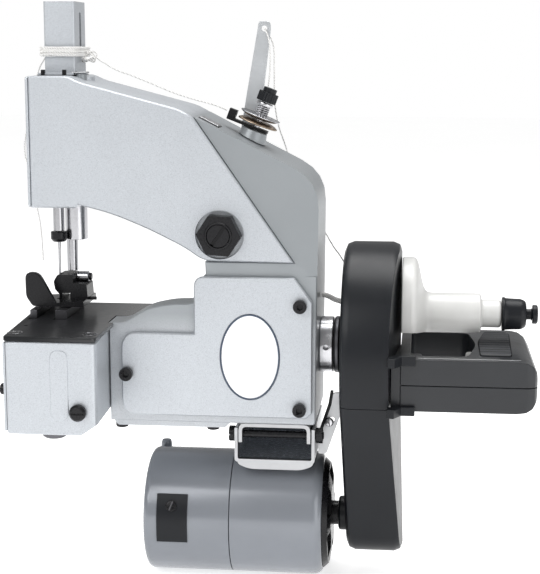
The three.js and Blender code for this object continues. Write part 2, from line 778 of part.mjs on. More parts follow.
function handleLoop() {
  const middle = (HANDLE.front + HANDLE.back) / 2;
  const plan = outline([
    [HANDLE.left, HANDLE.front, 1],
    [HANDLE.right, HANDLE.front, 7],
    [HANDLE.right, HANDLE.back, 14],
    [HANDLE.left, HANDLE.back, 1],
  ]);
  const opening = outline([
    [82, HANDLE.front + 11, 3],
    [113, HANDLE.front + 11, 6],
    [118.6, middle, 10],
    [115, HANDLE.back - 11, 6],
    [82, HANDLE.back - 11, 3],
  ]);
  const profile = outline([
    [HANDLE.left, HANDLE.bottom],
    [HANDLE.right, HANDLE.bottom, 11],
    [HANDLE.right, HANDLE.top, 11],
    [HANDLE.left, HANDLE.top],
  ]);
  const triggerSlot = block(110, 122, 2, 46, 115, 128.6);
  const insertSeat = prism('xy', gripOutline(0.3), HANDLE.top - 2, HANDLE.top + 2);
  return cut(
    prism('xy', plan, HANDLE.bottom, HANDLE.top).intersect(prism('xz', profile, -40, 100)),
    prism('xy', opening, HANDLE.bottom - 1, HANDLE.top + 1),
    triggerSlot,
    insertSeat,
  );
}

function gripOutline(grow) {
  return outline([
    [120 - grow, -5 - grow, 3],
    [136.5 + grow, -5 - grow, 3],
    [138.4 + grow, 60 + grow, 3],
    [124.4 - grow, 62 + grow, 3],
    [122.4 - grow, 48, 6],
    [120 - grow, 34, 6],
  ]);
}

function gripInsert() {
  const body = prism('xy', gripOutline(0), HANDLE.top - 1.7, HANDLE.top + 0.6);
  const grooves = [];
  for (let y = 1; y < 63; y += 3.2) {
    grooves.push(block(115, 145, y, y + 1.2, HANDLE.top, HANDLE.top + 2));
  }
  return cut(body, ...grooves);
}

function trigger() {
  const shape = outline([[113.4, 4, 2], [117.4, 3], [117.4, 45], [113.4, 44, 2], [111.8, 24, 12]]);
  return prism('xy', shape, 115.4, 128.2, { bevel: 0.8, steps: 1 });
}

// ---------------------------------------------------------------- spool holder

function spoolHolder() {
  const profile = [
    [0, COVER.right + GAP], [31.6, COVER.right + GAP], [31.8, COVER.right + 6.4], [29.6, COVER.right + 8.8],
    [20, COVER.right + 11.2], [13.6, COVER.right + 13], [11.5, COVER.right + 15], [11.5, 119.6],
    [10.6, 120.8], [7.9, 121.4], [7.9, 131.4], [7, 132.4], [0, 132.4],
  ];
  const bore = rod('x', 3.3, 100, 140, [0, AXIS_Y, SPOOL_Z], 24);
  const lower = prism('yz', outline([
    [-20, 100], [-20, 150.4], [AXIS_Y, 141.5], [90, 141.5], [90, 100],
  ]), 60, 98);
  return cut(turned('x', profile, [0, AXIS_Y, SPOOL_Z], 40), bore, lower);
}

function spoolCap() {
  const profile = [
    [0, 132.8], [9.4, 132.8], [9.6, 133.6], [9.2, 135], [8.8, 143], [7.6, 146.2], [0, 146.4],
  ];
  return cut(
    turned('x', profile, [0, AXIS_Y, SPOOL_Z], 32),
    rod('x', 3.3, 130, 150, [0, AXIS_Y, SPOOL_Z], 24),
  );
}

function spoolPlunger() {
  const profile = [
    [0, 112], [3, 112], [3, 149.6], [5.2, 150], [5.4, 150.6], [5.4, 152.4], [4.9, 153], [0, 153],
  ];
  return turned('x', profile, [0, AXIS_Y, SPOOL_Z], 24);
}

// ---------------------------------------------------------------- motor and its brackets

const MOTOR_SEAM = -20;

function motorFrontShell() {
  const r = MOTOR.radius;
  const outer = [
    [0, MOTOR.left], [r - 3.6, MOTOR.left], [r - 1.1, MOTOR.left + 1], [r, MOTOR.left + 3.6],
    [r, MOTOR_SEAM - GAP / 2],
  ];
  const inner = [[r - 3, MOTOR_SEAM - GAP / 2], [r - 3, MOTOR.left + 3.4], [0, MOTOR.left + 3.4]];
  const patchSeat = cut(
    block(-62, -43.7, -20, 12, 22, 50),
    rod('x', r - 1.4, -70, -30, [0, AXIS_Y, MOTOR.z], 48),
  );
  return cut(turned('x', [...outer, ...inner], [0, AXIS_Y, MOTOR.z], 48), patchSeat);
}

function motorRearShell() {
  const r = MOTOR.radius;
  const profile = [
    [r - 3, MOTOR_SEAM + GAP / 2], [r, MOTOR_SEAM + GAP / 2], [r, 27.4], [r - 0.9, 30.4],
    [r - 3.2, 32.7], [r - 5, 32.7], [r - 5, 22], [r - 3, 20], [r - 3, MOTOR_SEAM + GAP / 2],
  ];
  return turned('x', profile, [0, AXIS_Y, MOTOR.z], 48);
}

function motorEndCap() {
  const r = MOTOR.radius;
  const profile = [
    [0, 27], [r - 5.4, 27], [r - 5.4, 33], [r - 3.8, 33], [r - 6.4, 35.8], [r - 14, 37.4], [7, 37.4],
    [7, 40.6], [0, 40.6],
  ];
  const vents = [];
  for (let i = 0; i < 6; i += 1) {
    const vent = outline([[17, -5.5, 2], [28, -9.5, 2], [28, 9.5, 2], [17, 5.5, 2]]);
    vents.push(
      prism('yz', vent, 20, 45, { curve: 2 })
        .rotate([(i * 360) / 6 + 30, 0, 0])
        .translate([0, AXIS_Y, MOTOR.z]),
    );
  }
  return cut(
    turned('x', profile, [0, AXIS_Y, MOTOR.z], 40),
    rod('x', 3.4, 20, 50, [0, AXIS_Y, MOTOR.z], 24),
    ...vents,
  );
}

function brushCover() {
  const sleeve = cut(
    rod('x', MOTOR.radius + 0.8, -61.7, -44, [0, AXIS_Y, MOTOR.z], 48),
    rod('x', MOTOR.radius - 1.1, -70, -30, [0, AXIS_Y, MOTOR.z], 48),
  );
  return sleeve.intersect(block(-61.7, -44, -20, 12, 22.3, 49.7));
}

function motorRotor() {
  const profile = [
    [0, -64], [3, -64], [3, -48], [26, -48], [26, 12], [3, 12], [3, 64], [0, 64],
  ];
  return turned('x', profile, [0, AXIS_Y, MOTOR.z], 28);
}

function motorPulley() {
  const profile = [
    [3.3, 41], [9, 41], [10, 42], [10, 50], [14, 51.6], [14, 54.4], [10.8, 57], [10.8, 62],
    [14, 64.6], [14, 66],
    [3.3, 66], [3.3, 41],
  ];
  return turned('x', profile, [0, AXIS_Y, MOTOR.z], 28);
}

function upperBracket() {
  const shape = outline([
    [-14.4, 82], [-14.4, 93, 4], [26.4, 93, 4], [26.4, 82], [24.4, 82], [24.4, 91, 2.5],
    [-12.4, 91, 2.5], [-12.4, 82],
  ]);
  const bolt = rod('x', 2.4, -20, 40, [0, 8, 85.3], 16);
  return cut(prism('xz', shape, 1, 57.6), bolt);
}

function lowerBracket() {
  const shape = outline([
    [-16.8, 90, 0.5], [-16.8, 70.2, 2], [28.8, 70.2, 2], [28.8, 90, 0.5], [27, 90], [27, 72, 1],
    [-15, 72, 1], [-15, 90],
  ]);
  const seat = outline([
    [-16, 71], [-15.4, 67.6, 2], [-9, 65, 4], [21, 65, 4], [27.4, 67.6, 2], [28, 71],
  ]);
  const saddle = rod('x', MOTOR.radius + GAP, -30, 40, [0, AXIS_Y, MOTOR.z], 48);
  const bolt = rod('x', 2.4, -20, 40, [0, 8, 85.3], 16);
  const tray = join(
    prism('xz', shape, 2, 60),
    prism('xz', seat, 6, 56),
    block(-15.4, 27.4, 58, 60, 71, 88),
  );
  return cut(tray, saddle, bolt);
}

function bracketBolt() {
  const head = rod('x', 4.4, -20.4, -17.1, [0, 8, 85.3], 24);
  const slot = block(-21, -19.4, 0, 20, 84.9, 85.7);
  const shank = rod('x', 2.1, -18, 33.6, [0, 8, 85.3], 16);
  const nut = rod('x', 4.6, 29.1, 33.1, [0, 8, 85.3], 6);
  return cut(join(head, shank, nut), slot);
}

// Slanted strap that steadies the motor against the body's side.
function motorStrut() {
  const shape = outline([
    [29.1, 69.4, 1], [33.8, 69.4, 2], [43.2, 97, 3], [43.2, 106, 2], [36.6, 106, 3], [35.4, 99, 3],
    [29.1, 80, 1],
  ]);
  return cut(prism('xz', shape, 26, 28), rod('y', 1.6, 20, 40, [37, 0, 90], 12));
}

// ---------------------------------------------------------------- wiring and sewing thread

const THREAD_RADIUS = 0.4;

const SUPPLY_ROUTE = [
  [43.1, 68, 170], [41.8, 68.4, 174], [38.6, 68.8, 179.6], [34, 68.6, 186], [26, 68, 200],
  [15, 67.4, 220], [8.4, 66.6, 237], [5.4, 61.5, 248], [3, 55, 257], [1, 51.6, 270],
  [0.6, 51.4, 288], [0.2, 51.6, 303], [-3.2, 51.4, 311],
  [-4.8, 50.6, 313.2], [-4.8, 48.8, 313.4], [-4.5, 47, 313.1], [-2.6, 46.6, 309], [-1.5, 46.6, 302],
  [-1.4, 46.6, 290], [-3, 46.5, 275], [-4.4, 46.3, 262.6],
];

const FEED_ROUTE = [
  [-24.6, 34, 267.4], [-28, 33.9, 268.9], [-33, 33.8, 270.7], [-44, 33.5, 273.6], [-54.4, 33, 276.9],
  [-66, 32.6, 281.6], [-78, 32.4, 286.4], [-88, 32.6, 290], [-96, 33, 294.5], [-101, 33.6, 297.8],
  [-105.3, 34.2, 299.8],
];

const TAIL_ROUTE = [
  [-128, 30, 297.2], [-131, 28, 292], [-132.8, 25, 284], [-134.2, 21.6, 272], [-136.4, 20, 261],
  [-138.8, 20, 250.6], [-139, 20, 242], [-137, 21, 233.5], [-135.6, 24, 222], [-134.8, 27, 211],
  [-133.4, 27.6, 202], [-132.4, 27.4, 190], [-131.8, 26, 180.4],
];

function threadWrap() {
  const plan = (grow) => outline([
    [-127 - grow, 20.7 - grow, 2 + grow], [-108.4 + grow, 20.7 - grow, 2 + grow],
    [-108.4 + grow, 47.3 + grow, 2 + grow], [-127 - grow, 47.3 + grow, 2 + grow],
  ]);
  return cut(prism('xy', plan(2.2), 297.6, 303.2), prism('xy', plan(0), 290, 310));
}

function wiringLead() {
  const route = [[BODY.right + 1, 30, 163], [34, 30, 162], [38, 30, 160], [COVER.left - 0.6, 30, 158.6]];
  return tube(route, 1.6, 8);
}

// ---------------------------------------------------------------- the machine

place('arm_casting', 'silver_paint', armCasting());
place('body_casting', 'smooth_paint', bodyCasting());
place('arm_end_plate', 'dark_steel', armEndPlate());
place('front_cover', 'silver_paint', frontCover());
for (const [name, position] of Object.entries(COVER_SCREWS)) {
  place(name, 'black_oxide', capScrew(position));
}

place('looper_box', 'silver_paint', looperBox());
place('looper_box_screw', 'black_oxide', looperBoxScrew());
place('looper_box_plug', 'dark_steel', looperBoxPlug());
place('looper_end_plate', 'silver_paint', looperEndPlate());
place('needle_plate', 'black_oxide', needlePlate());
place('feed_dog', 'dark_steel', feedDog());
place('looper', 'steel', looper());

place('presser_bushing', 'steel', presserBushing());
place('presser_bar', 'steel', presserBar());
place('presser_foot', 'black_oxide', presserFoot());
place('needle_bar', 'steel', needleBar());
place('needle_clamp', 'black_oxide', needleClamp());
place('needle', 'steel', needle());
place('needle_guard', 'silver_paint', needleGuard());

place('pivot_nut', 'black_oxide', pivotNut());
place('pivot_shaft', 'dark_steel', pivotShaft());
place('needle_lever', 'steel', needleLever());
place('connecting_rod', 'steel', connectingRod());
place('main_shaft', 'steel', mainShaft());

place('tension_boss', 'smooth_paint', tensionBoss());
place('tension_post', 'steel', tensionPost());
place('thread_guide_plate', 'black_oxide', threadGuidePlate());
place('tension_disc_lower', 'brass', tensionDisc(14.8, 1));
place('tension_disc_upper', 'steel', tensionDisc(17.7, -1));
place('tension_spring', 'black_oxide', tensionSpring());
place('tension_knob', 'black_plastic', tensionKnob());
place('thread_arm', 'bracket_steel', threadArm());

place('drive_pulley', 'dark_steel', drivePulley());
place('drive_belt', 'black_rubber', driveBelt());
place('belt_cover_upper', 'black_plastic', beltCover(COVER.split + GAP / 2, 220));
place('belt_cover_lower', 'black_plastic', lowerBeltCover());

const handleSplit = (HANDLE.bottom + HANDLE.top) / 2;
const loop = handleLoop();
place(
  'handle_upper',
  'black_plastic',
  loop.intersect(block(60, 160, -40, 100, handleSplit + GAP / 2, 150)),
);
place('handle_lower', 'black_plastic', loop.intersect(block(60, 160, -40, 100, 90, handleSplit - GAP / 2)));
place('grip_insert', 'grey_rubber', gripInsert());
place('trigger', 'white_plastic', trigger());

place('spool_holder', 'white_plastic', spoolHolder());
place('spool_cap', 'black_plastic', spoolCap());
place('spool_plunger', 'black_plastic', spoolPlunger());

place('motor_front_shell', 'motor_paint', motorFrontShell());
place('motor_rear_shell', 'motor_paint', motorRearShell());
place('motor_end_cap', 'motor_paint', motorEndCap());
place('brush_cover', 'black_plastic', brushCover());
place('motor_rotor', 'dark_steel', motorRotor());
place('motor_pulley', 'black_plastic', motorPulley());
place('bracket_upper', 'bracket_steel', upperBracket());
place('bracket_lower', 'bracket_steel', lowerBracket());
place('bracket_bolt', 'black_oxide', bracketBolt());
place('motor_strut', 'bracket_steel', motorStrut());

place('wiring_lead', 'thread', wiringLead());
place('thread_supply', 'thread', tube(SUPPLY_ROUTE, THREAD_RADIUS, 40));
place('thread_feed', 'thread', tube(FEED_ROUTE, THREAD_RADIUS, 24));
place('thread_wrap', 'thread', threadWrap());
place('thread_tail', 'thread', tube(TAIL_ROUTE, THREAD_RADIUS, 26));

// The origin goes under the middle of the whole machine.
const bounds = new THREE.Box3().setFromObject(machine);
const centre = bounds.getCenter(new THREE.Vector3());
machine.position.set(-centre.x, -centre.y, -bounds.min.z);

export default machine;
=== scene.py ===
"""Looks for a portable bag closer: finishes, small fittings, thread, floor, lights and camera."""

import json
from math import cos, pi, radians, sin

import bmesh
import bpy
from mathutils import Matrix, Vector, noise


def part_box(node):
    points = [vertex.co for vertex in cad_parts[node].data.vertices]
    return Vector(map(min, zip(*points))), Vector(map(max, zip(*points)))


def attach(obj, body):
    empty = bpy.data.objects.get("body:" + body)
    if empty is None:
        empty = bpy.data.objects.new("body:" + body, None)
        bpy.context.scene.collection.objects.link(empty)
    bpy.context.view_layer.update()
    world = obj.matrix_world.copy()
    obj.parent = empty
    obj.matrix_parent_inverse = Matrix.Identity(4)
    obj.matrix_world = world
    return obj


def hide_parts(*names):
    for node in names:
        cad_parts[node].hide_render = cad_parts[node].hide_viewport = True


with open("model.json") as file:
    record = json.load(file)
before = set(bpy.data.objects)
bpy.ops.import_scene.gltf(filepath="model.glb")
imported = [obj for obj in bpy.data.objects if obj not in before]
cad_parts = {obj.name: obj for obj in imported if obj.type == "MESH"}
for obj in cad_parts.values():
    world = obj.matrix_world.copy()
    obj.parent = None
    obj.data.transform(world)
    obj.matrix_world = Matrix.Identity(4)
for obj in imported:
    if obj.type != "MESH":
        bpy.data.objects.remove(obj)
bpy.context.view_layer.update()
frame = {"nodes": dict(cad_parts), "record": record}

SCENE = bpy.context.scene
MM = 0.001
WHITE = (1.0, 1.0, 1.0)

# The drawing frame is in millimetres, and the motor front shell's lowest corner places it.
MOTOR_CORNER = Vector((-70.2, -2.0, -4.5))
SHIFT = Vector(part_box("motor_front_shell")[0]) - MOTOR_CORNER * MM

AXIS_Y = 34.0
SPOOL_Z = 152.8
MOTOR_Z = 31.5
MOTOR_RADIUS = 36.0
NEEDLE_X = -124.0
PRESSER = (-118.2, 42.0)
FOOT_PIN = (0, 42, 169)
TENSION_FOOT = Vector((-12.0, 34.0, 247.0))

# Directions of a turned piece's axis.
ALONG_X = Matrix(((0, 0, 1), (1, 0, 0), (0, 1, 0)))
ALONG_Z = Matrix.Identity(3)
ALONG_TENSION_POST = Matrix.Rotation(radians(21), 3, "Y")

FRAME_BODY = "machine_frame"
BODY_OF = {
    node: body
    for body, nodes in frame["record"]["behaviour"]["bodies"].items()
    for node in nodes
}


def at(x, y, z):
    """A point in the drawing frame, in millimetres, as a point in the row frame, in metres."""
    return SHIFT + Vector((x, y, z)) * MM


def placed(name, data):
    """A new object with this data, linked into the scene."""
    obj = bpy.data.objects.new(name, data)
    SCENE.collection.objects.link(obj)
    return obj


# ---------------------------------------------------------------- camera

LOOK_AT = Vector((0.0, 34.0, 165.88))
AZIMUTH, ELEVATION, DISTANCE = radians(6.2), radians(9.5), 810.0


def add_camera():
    data = bpy.data.cameras.new("camera")
    data.lens = 87.8
    data.sensor_width = 36.0
    data.sensor_fit = "AUTO"
    data.clip_start = 0.01
    data.clip_end = 20.0
    camera = placed("camera", data)
    direction = Vector((
        sin(AZIMUTH) * cos(ELEVATION), -cos(AZIMUTH) * cos(ELEVATION), sin(ELEVATION),
    ))
    camera.location = at(*(LOOK_AT + direction * DISTANCE))
    camera.rotation_euler = (-direction).to_track_quat("-Z", "Y").to_euler()
    SCENE.camera = camera


# ---------------------------------------------------------------- materials


def tinted(factor, color):
    return tuple(factor * channel for channel in color)


class Nodes:
    """A material's node tree with short ways to add and link nodes."""

    def __init__(self, name):
        self.material = bpy.data.materials.new(name)
        self.material.use_nodes = True
        self.tree = self.material.node_tree
        self.shader = self.tree.nodes["Principled BSDF"]
        self.place = self.tree.nodes.new("ShaderNodeTexCoord").outputs["Object"]

    def add(self, kind, **settings):
        node = self.tree.nodes.new(kind)
        for key, value in settings.items():
            setattr(node, key, value)
        return node

    def link(self, start, end):
        self.tree.links.new(start, end)

    def feed(self, socket, output):
        """Drives one of the shader's sockets."""
        self.link(output, self.shader.inputs[socket])

    def set(self, **values):
        """Fixed values on the shader's sockets."""
        for key, value in values.items():
            self.shader.inputs[key.replace("_", " ")].default_value = value

    def axis(self, letter):
        """The place along x, y or z."""
        split = self.add("ShaderNodeSeparateXYZ")
        self.link(self.place, split.inputs["Vector"])
        return split.outputs[letter]

    def stretched(self, scale):
        mapping = self.add("ShaderNodeMapping")
        mapping.inputs["Scale"].default_value = scale
        self.link(self.place, mapping.inputs["Vector"])
        return mapping.outputs["Vector"]

    def noise(self, scale, detail=4.0, rough=0.55, vector=None):
        node = self.add("ShaderNodeTexNoise")
        node.inputs["Scale"].default_value = scale
        node.inputs["Detail"].default_value = detail
        node.inputs["Roughness"].default_value = rough
        self.link(vector or self.place, node.inputs["Vector"])
        return node.outputs["Fac"]

    def ramp(self, fac, stops):
        node = self.add("ShaderNodeValToRGB")
        points = node.color_ramp.elements
        while len(points) < len(stops):
            points.new(0.5)
        for point, (position, color) in zip(points, stops):
            point.position = position
            point.color = (*color, 1.0)
        self.link(fac, node.inputs["Fac"])
        return node.outputs["Color"]

    def clouded(self, color, cloud, dark, light, start=0.3, end=0.7):
        """The colour, going from dark to light times itself where the cloud does."""
        return self.ramp(cloud, [(start, tinted(dark, color)), (end, tinted(light, color))])

    def spread(self, fac, low, high, source=(0.0, 1.0)):
        node = self.add("ShaderNodeMapRange")
        node.inputs["From Min"].default_value, node.inputs["From Max"].default_value = source
        node.inputs["To Min"].default_value = low
        node.inputs["To Max"].default_value = high
        self.link(fac, node.inputs["Value"])
        return node.outputs["Result"]

    def mixed(self, first, second, factor=None, blend="MIX"):
        node = self.add("ShaderNodeMix", data_type="RGBA", blend_type=blend)
        if factor:
            self.link(factor, node.inputs["Factor"])
        else:
            node.inputs["Factor"].default_value = 1.0
        self.link(first, node.inputs["A"])
        self.link(second, node.inputs["B"])
        return node.outputs["Result"]

    def bump(self, height, strength, distance, normal=None):
        node = self.add("ShaderNodeBump")
        node.inputs["Strength"].default_value = strength
        node.inputs["Distance"].default_value = distance
        self.link(height, node.inputs["Height"])
        if normal:
            self.link(normal, node.inputs["Normal"])
        return node.outputs["Normal"]


def flaked(n, color, dark):
    """Adds fine flakes to a paint: each has its own brightness and tilt. Returns the colour."""
    flakes = n.add("ShaderNodeTexVoronoi")
    flakes.inputs["Scale"].default_value = 3200.0
    n.link(n.place, flakes.inputs["Vector"])
    split = n.add("ShaderNodeSeparateColor")
    n.link(flakes.outputs["Color"], split.inputs["Color"])
    brightness, gloss, tilt = (split.outputs[channel] for channel in ("Red", "Green", "Blue"))
    fleck = n.ramp(brightness, [
        (0.0, dark), (0.3, color), (0.85, color), (1.0, tinted(1.12, color)),
    ])
    cloud = n.clouded(WHITE, n.noise(14.0, 3.0), 0.93, 1.0)
    n.feed("Roughness", n.spread(gloss, 0.36, 0.5))
    peel = n.bump(n.noise(900.0, 2.0), 0.08, 0.0002)
    n.feed("Normal", n.bump(tilt, 0.07, 0.0001, peel))
    return n.mixed(fleck, cloud, blend="MULTIPLY")


def sparkle_paint(name, color, dark):
    """Silver paint with fine flakes."""
    n = Nodes(name)
    n.feed("Base Color", flaked(n, color, dark))
    n.set(Metallic=0.55, Coat_Weight=0.18, Coat_Roughness=0.22)
    return n.material


def darker_above_paint(name, lower, upper, from_z, to_z):
    """Sprayed paint on one casting: flaked and bright on its low part, darker and even above."""
    n = Nodes(name)
    # the casting's colour turns darker and even above from_z, set by height alone
    above = n.spread(n.axis("Z"), 0.0, 1.0, (from_z, to_z))
    even = n.clouded(upper, n.noise(20.0), 0.94, 1.04, 0.25, 0.75)
    low = flaked(n, lower, tinted(0.82, lower))
    n.feed("Base Color", n.mixed(low, even, above))
    n.set(Metallic=0.45, Coat_Weight=0.18, Coat_Roughness=0.22)
    return n.material


def gloss_paint(name, color, roughness, metallic):
    """Sprayed machine paint with a faint orange peel and handling marks."""
    n = Nodes(name)
    n.feed("Base Color", n.clouded(color, n.noise(18.0, 5.0), 0.9, 1.06, 0.25, 0.75))
    n.feed("Roughness", n.spread(n.noise(60.0, 6.0), roughness - 0.06, roughness + 0.1))
    n.feed("Normal", n.bump(n.noise(700.0, 2.0), 0.08, 0.0002))
    n.set(Metallic=metallic, Coat_Weight=0.25, Coat_Roughness=0.12)
    return n.material


def metal(
    name, color, roughness, line_scale, lines=(1.0, 1.0, 1.0), metallic=1.0, strength=0.1,
    specular=0.5,
):
    """Ground, turned or blackened metal with fine tool marks along one direction."""
    n = Nodes(name)
    marks = n.noise(line_scale, 3.0, 0.6, n.stretched(lines))
    n.feed("Base Color", n.clouded(color, n.noise(45.0, 5.0), 0.84, 1.0))
    n.feed("Roughness", n.spread(marks, roughness - 0.07, roughness + 0.13))
    n.feed("Normal", n.bump(marks, strength, 0.0001))
    n.set(Metallic=metallic, Specular_IOR_Level=specular)
    return n.material


def moulded(name, color, roughness, grain, coat=0.0, specular=0.5):
    """Moulded plastic or rubber with a fine eroded grain and slightly uneven gloss."""
    n = Nodes(name)
    n.feed("Base Color", n.clouded(color, n.noise(22.0, 4.0), 0.86, 1.1))
    n.feed("Roughness", n.spread(n.noise(110.0, 5.0), roughness - 0.06, roughness + 0.08))
    n.feed("Normal", n.bump(n.noise(1600.0, 3.0, 0.6), grain, 0.0002))
    n.set(Metallic=0.0, Coat_Weight=coat, Coat_Roughness=0.15, Specular_IOR_Level=specular)
    return n.material


def ribbed(name, color):
    """Rubber with fine straight ribs across it, its grooves darkened by painted shade."""
    n = Nodes(name)
    ribs = n.add("ShaderNodeTexWave", wave_type="BANDS", bands_direction="Y")
    ribs.inputs["Scale"].default_value = 150.0
    n.link(n.place, ribs.inputs["Vector"])
    # painted shade: the colour falls to 0.4 of itself in the grooves between the ribs
    n.feed("Base Color", n.clouded(color, ribs.outputs["Fac"], 0.4, 1.0, 0.2, 0.7))
    n.feed("Normal", n.bump(ribs.outputs["Fac"], 0.6, 0.0004))
    n.feed("Roughness", n.spread(n.noise(900.0), 0.5, 0.7))
    return n.material


def glossy_plate(name, color, from_x, to_x):
    """Blackened ground plate, with a polish that grows towards its right-hand end."""
    n = Nodes(name)
    n.feed("Base Color", n.clouded(color, n.noise(40.0, 4.0), 0.8, 1.2))
    n.feed("Coat Weight", n.spread(n.axis("X"), 0.0, 1.0, (from_x, to_x)))
    n.feed("Roughness", n.spread(n.noise(300.0, 4.0), 0.34, 0.46))
    n.feed("Normal", n.bump(n.noise(1500.0, 3.0), 0.06, 0.0001))
    n.set(Coat_Roughness=0.16, Specular_IOR_Level=0.12)
    return n.material


def spun_thread(name, color):
    """Spun sewing thread: slanting plies with soft fuzz, darkened by painted shade where they
    meet.
    """
    n = Nodes(name)
    plies = n.add("ShaderNodeTexWave", wave_type="BANDS", bands_direction="DIAGONAL")
    plies.inputs["Scale"].default_value = 420.0
    plies.inputs["Distortion"].default_value = 1.5
    n.link(n.place, plies.inputs["Vector"])
    # painted shade: the colour falls to 0.62 of itself in the grooves between the plies
    n.feed("Base Color", n.clouded(color, plies.outputs["Fac"], 0.62, 1.0, 0.0, 0.6))
    n.feed("Normal", n.bump(plies.outputs["Fac"], 0.5, 0.0003))
    n.feed("Roughness", n.spread(n.noise(900.0), 0.75, 0.95))
    n.set(Sheen_Weight=0.3)
    return n.material


FINISH = {
    name: make(name, **settings)
    for name, make, settings in (
        ("silver_paint", sparkle_paint, dict(
            color=(0.51, 0.535, 0.565), dark=(0.41, 0.43, 0.46))),
        ("smooth_paint", darker_above_paint, dict(
            lower=(0.47, 0.49, 0.515), upper=(0.31, 0.33, 0.345), from_z=0.150, to_z=0.160)),
        ("motor_paint", gloss_paint, dict(
            color=(0.215, 0.23, 0.255), roughness=0.2, metallic=0.15)),
        ("steel", metal, dict(
            color=(0.44, 0.44, 0.455), roughness=0.16, line_scale=500.0,
            lines=(1.0, 1.0, 12.0), strength=0.03)),
        ("turned_steel", metal, dict(
            color=(0.6, 0.6, 0.62), roughness=0.2, line_scale=300.0,
            lines=(10.0, 1.0, 1.0), strength=0.03)),
        ("dark_steel", metal, dict(
            color=(0.13, 0.13, 0.14), roughness=0.36, line_scale=500.0,
            lines=(1.0, 1.0, 6.0), strength=0.05)),
        ("bracket_steel", metal, dict(
            color=(0.46, 0.465, 0.475), roughness=0.3, line_scale=260.0,
            lines=(1.0, 8.0, 1.0), strength=0.04)),
        ("black_oxide", metal, dict(
            color=(0.01, 0.01, 0.0115), roughness=0.25, line_scale=700.0,
            metallic=0.2, specular=0.3)),
        ("brass", metal, dict(
            color=(0.42, 0.33, 0.25), roughness=0.28, line_scale=600.0, strength=0.02)),
        ("black_plastic", moulded, dict(
            color=(0.0098, 0.011, 0.0135), roughness=0.34, grain=0.1, specular=0.23)),
        ("handle_plastic", moulded, dict(
            color=(0.018, 0.0195, 0.0225), roughness=0.3, grain=0.1, specular=0.42)),
        ("white_plastic", moulded, dict(
            color=(0.66, 0.66, 0.645), roughness=0.32, grain=0.04, coat=0.1)),
        ("black_rubber", moulded, dict(color=(0.018, 0.018, 0.018), roughness=0.7, grain=0.3)),
        ("grip_rubber", ribbed, dict(color=(0.045, 0.048, 0.054))),
        ("thread", spun_thread, dict(color=(0.86, 0.85, 0.83))),
        # dark metal for the sheets inside the motor bracket: painted shade
        ("tray_dark", metal, dict(
            color=(0.26, 0.28, 0.31), roughness=0.22, line_scale=300.0,
            lines=(1.0, 6.0, 1.0), metallic=0.8, strength=0.04)),
        ("bright_sheet", metal, dict(
            color=(0.62, 0.64, 0.66), roughness=0.3, line_scale=260.0,
            lines=(1.0, 1.0, 8.0), metallic=0.7, strength=0.03)),
        ("plate_black", glossy_plate, dict(
            color=(0.014, 0.0145, 0.016), from_x=-0.128, to_x=-0.085)),
        ("badge_white", moulded, dict(
            color=(0.86, 0.87, 0.88), roughness=0.25, grain=0.03, coat=0.4)),
        ("badge_ring", moulded, dict(
            color=(0.03, 0.05, 0.09), roughness=0.3, grain=0.05, coat=0.3)),
    )
}


# ---------------------------------------------------------------- making pieces

EDGE_ANGLE = radians(28)  # an edge sharper than this is rounded
SAME_POINT = 2e-6
FLAT_ANGLE = radians(0.7)  # facets closer than this to one plane are joined
AXIS_RADIUS = 0.02  # stands for a radius of 0 in a profile


def dress(obj, finish, body, stands_for=()):
    obj.data.materials.clear()
    obj.data.materials.append(FINISH[finish])
    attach(obj, body)
    if stands_for:
        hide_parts(*stands_for)


def piece(name, bm, finish, body, round_mm, segments=3, stands_for=()):
    """A finished piece from a bmesh: rounded edges, soft shading, a finish and a body."""
    bmesh.ops.recalc_face_normals(bm, faces=bm.faces)
    mesh = bpy.data.meshes.new(name)
    bm.to_mesh(mesh)
    bm.free()
    mesh.shade_smooth()
    obj = placed(name, mesh)
    if round_mm:
        bevel = obj.modifiers.new("rounded_edges", "BEVEL")
        bevel.width = round_mm * MM
        bevel.segments = segments
        bevel.limit_method = "ANGLE"
        bevel.angle_limit = EDGE_ANGLE
        bevel.miter_outer = "MITER_ARC"
    normals = obj.modifiers.new("flat_faces", "WEIGHTED_NORMAL")
    normals.keep_sharp = True
    dress(obj, finish, body, stands_for)


def refine(node, finish, round_mm):
    """The CAD node's own shape with rounded edges and soft shading, in place of the node."""
    bm = bmesh.new()
    bm.from_mesh(frame["nodes"][node].data)
    bmesh.ops.remove_doubles(bm, verts=bm.verts, dist=SAME_POINT)
    bmesh.ops.dissolve_limit(bm, angle_limit=FLAT_ANGLE, verts=bm.verts, edges=bm.edges)
    piece(f"{node}_finish", bm, finish, BODY_OF[node], round_mm, stands_for=(node,))


def ring_faces(bm, rings, closed_ends=True):
    """Quads between successive rings of vertices, with caps on the two end rings."""
    for a, b in zip(rings, rings[1:]):
        count = len(a)
        for i in range(count):
            bm.faces.new((a[i], a[(i + 1) % count], b[(i + 1) % count], b[i]))
    if closed_ends:
        bm.faces.new(rings[0][::-1])
        bm.faces.new(rings[-1])


def turned_rings(bm, profile, centre, turn, sides):
    """One ring of vertices for each (radius, distance along the axis) of the profile."""
    rings = []
    for radius, along in profile:
        radius = max(radius, AXIS_RADIUS)
        rings.append([
            bm.verts.new(at(*(Vector(centre) + turn @ Vector((
                radius * cos(2 * pi * i / sides), radius * sin(2 * pi * i / sides), along,
            )))))
            for i in range(sides)
        ])
    return rings


def lathe(profile, centre, turn, sides):
    """A turned solid, with the profile from one end of the axis to the other."""
    bm = bmesh.new()
    ring_faces(bm, turned_rings(bm, profile, centre, turn, sides))
    return bm


def hollow_lathe(profile, centre, turn, sides):
    """A turned ring: the closed profile doesn't reach the axis."""
    bm = bmesh.new()
    rings = turned_rings(bm, profile, centre, turn, sides)
    ring_faces(bm, rings + [rings[0]], closed_ends=False)
    return bm


